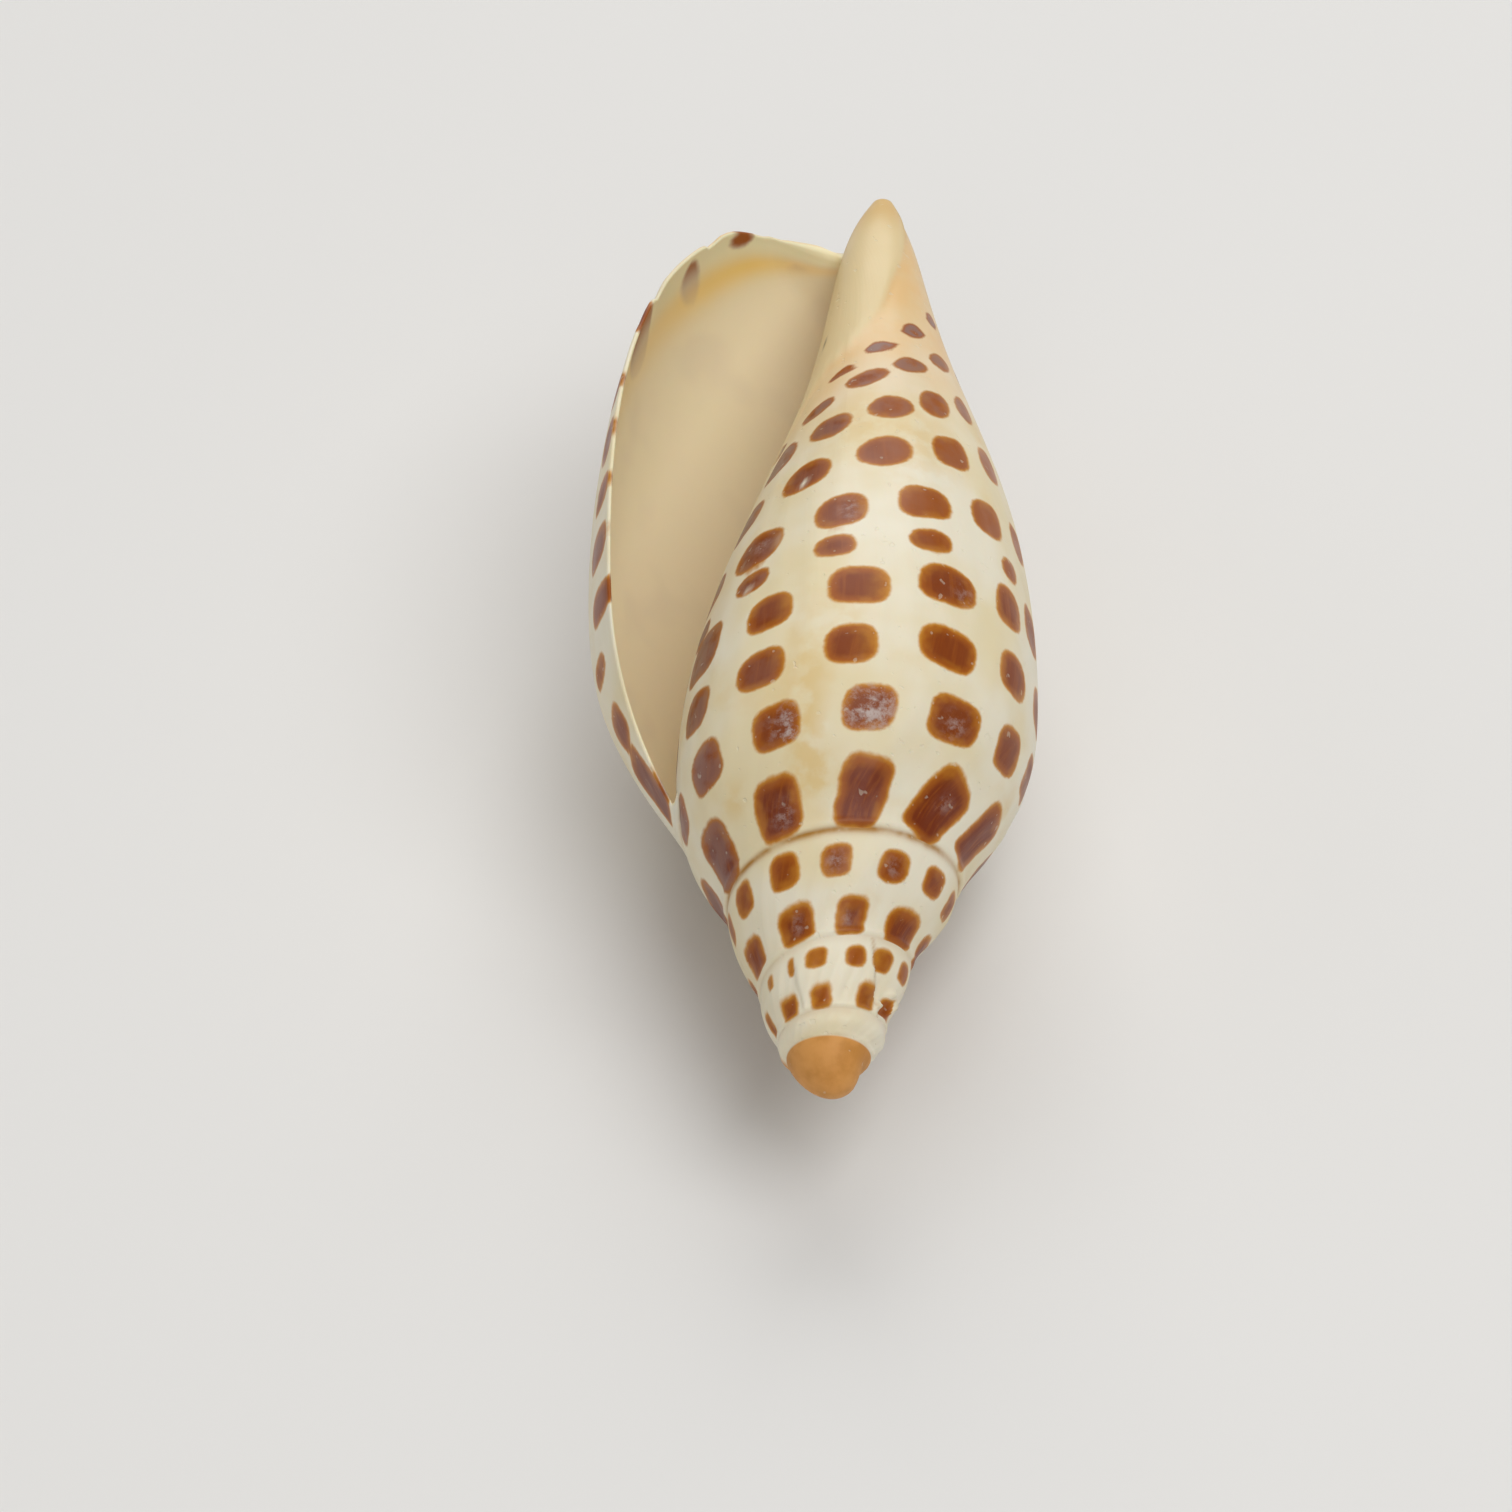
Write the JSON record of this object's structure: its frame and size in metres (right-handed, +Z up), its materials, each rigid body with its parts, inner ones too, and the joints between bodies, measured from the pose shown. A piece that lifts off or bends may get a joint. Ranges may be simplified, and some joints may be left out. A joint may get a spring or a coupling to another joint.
{
  "type": "seashell",
  "caption": "Spindle-shaped spotted sea-snail shell with a short stepped spire and a long open mouth, resting on its back.",
  "frame": {"origin": "bottom centre of the bounding box, on the surface that the shell rests on", "axes": "+Z up, out of the mouth; +Y from the tip of the spire towards the front end"},
  "size_m": [0.0364, 0.0922, 0.0312],
  "materials": {
    "shell": "glossy cream with brown spots"
  },
  "bodies": {
    "root": {"shell": "shell"}
  },
  "joints": []
}
